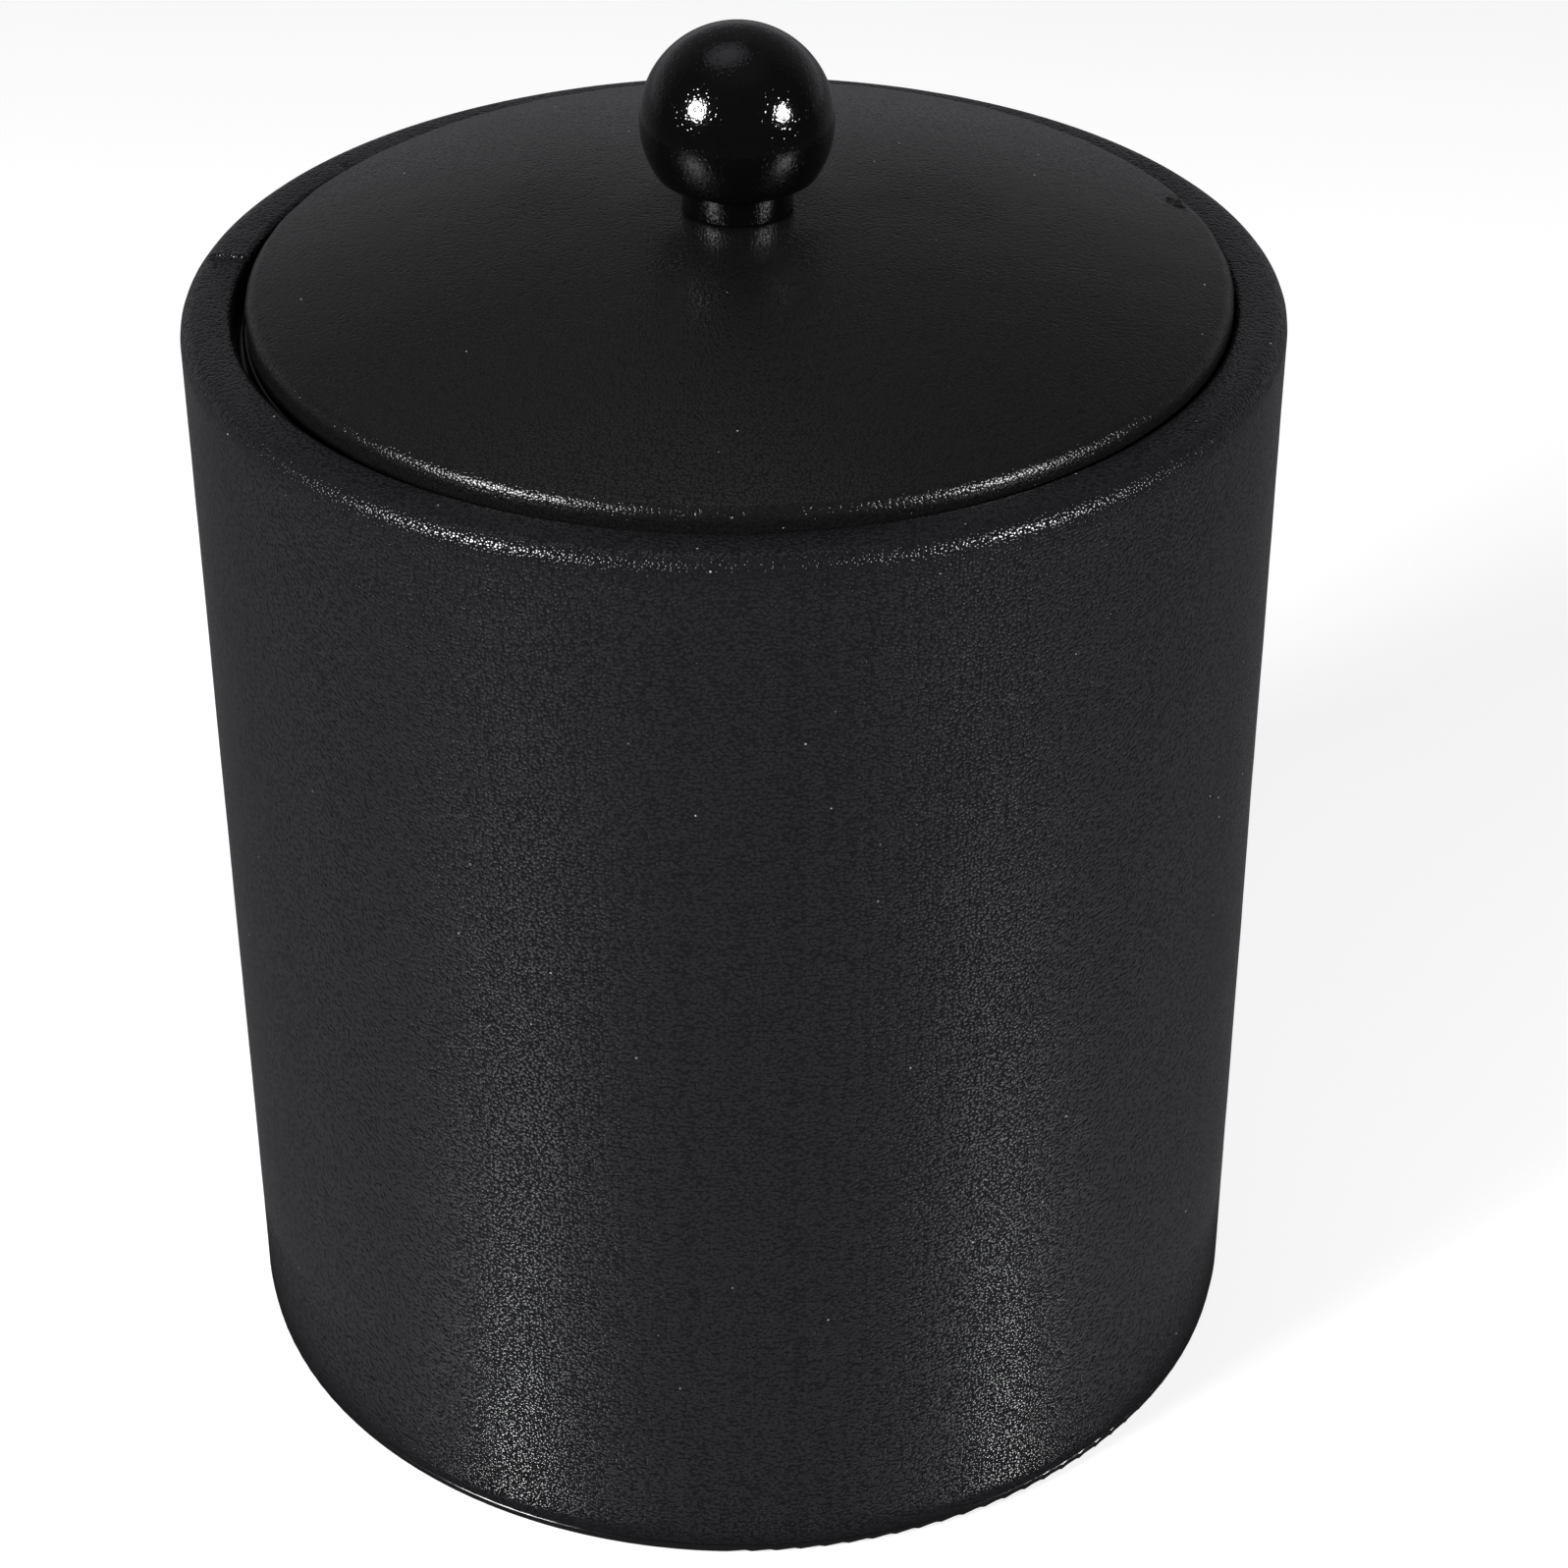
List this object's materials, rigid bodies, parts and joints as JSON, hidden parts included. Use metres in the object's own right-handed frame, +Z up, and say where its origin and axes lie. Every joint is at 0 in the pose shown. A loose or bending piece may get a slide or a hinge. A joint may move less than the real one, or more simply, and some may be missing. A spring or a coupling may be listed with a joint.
{
  "type": "ice bucket",
  "caption": "Insulated round ice bucket wrapped in black leatherette, with a glossy liner and base and a padded domed lid that lifts off by a ball knob.",
  "frame": {"origin": "on the table, under the centre of the bucket, where the foot pads rest", "axes": "+Z up along the bucket's axis, -Y towards the front, +X to the right seen from the front"},
  "size_m": [0.17, 0.17, 0.2283],
  "materials": {
    "cover_leatherette": "satin",
    "lid_leatherette": "satin",
    "gloss_black_plastic": "gloss",
    "knob_lacquer": "gloss",
    "fibreboard": "matte",
    "rim_plastic": "matte",
    "insulation_foam": "matte",
    "padding_foam": "matte",
    "pad_rubber": "matte",
    "screw_steel": "satin",
    "insert_brass": "satin"
  },
  "bodies": {
    "bucket": {"outer_shell": "fibreboard", "rim_ring": "rim_plastic", "bottom_board": "fibreboard", "floor_insulation": "insulation_foam", "wall_insulation": "insulation_foam", "liner": "gloss_black_plastic", "leather_cover": "cover_leatherette", "base_cap": "gloss_black_plastic", "base_screws": "screw_steel", "foot_pads": "pad_rubber"},
    "lid": {"lid_board": "fibreboard", "lid_padding": "padding_foam", "lid_leather": "lid_leatherette", "lid_pan": "gloss_black_plastic", "lid_insulation": "insulation_foam", "knob": "knob_lacquer", "knob_insert": "insert_brass", "knob_washer": "screw_steel", "knob_screw": "screw_steel"}
  },
  "joints": [
    {"name": "lid_lift", "type": "slide", "parent": "bucket", "child": "lid", "axis": [0, 0, 1], "range_m": [0, 0.12]}
  ]
}
